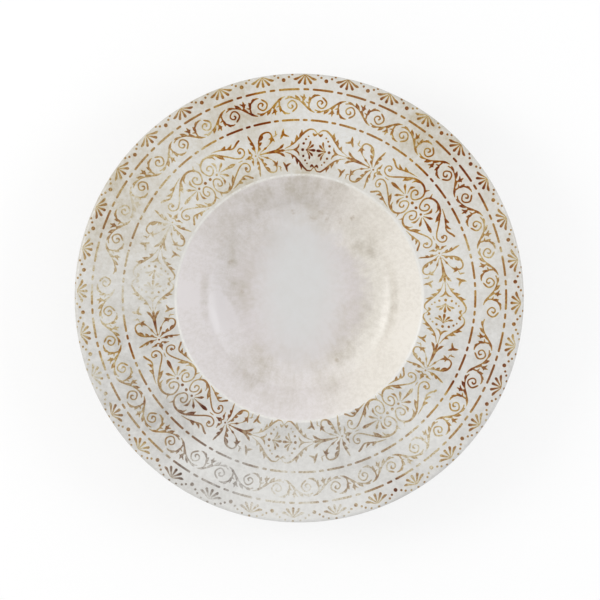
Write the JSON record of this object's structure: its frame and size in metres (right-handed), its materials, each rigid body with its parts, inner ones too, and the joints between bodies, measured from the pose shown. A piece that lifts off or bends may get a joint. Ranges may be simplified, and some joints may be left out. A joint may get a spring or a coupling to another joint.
{
  "type": "deep plate",
  "caption": "Round deep plate in glazed porcelain with a wide, gently dished rim, a steep well with a flat floor, and a plain foot ring.",
  "frame": {"origin": "centre of the circle that the foot ring stands on, at the plate's lowest point", "axes": "+Z is the plate's axis and points up out of the well; +X and +Y lie in the plane it stands on"},
  "size_m": [0.28, 0.28, 0.048],
  "materials": {
    "glazed_porcelain": "gloss"
  },
  "bodies": {
    "root": {"plate_body": "glazed_porcelain"}
  },
  "joints": []
}
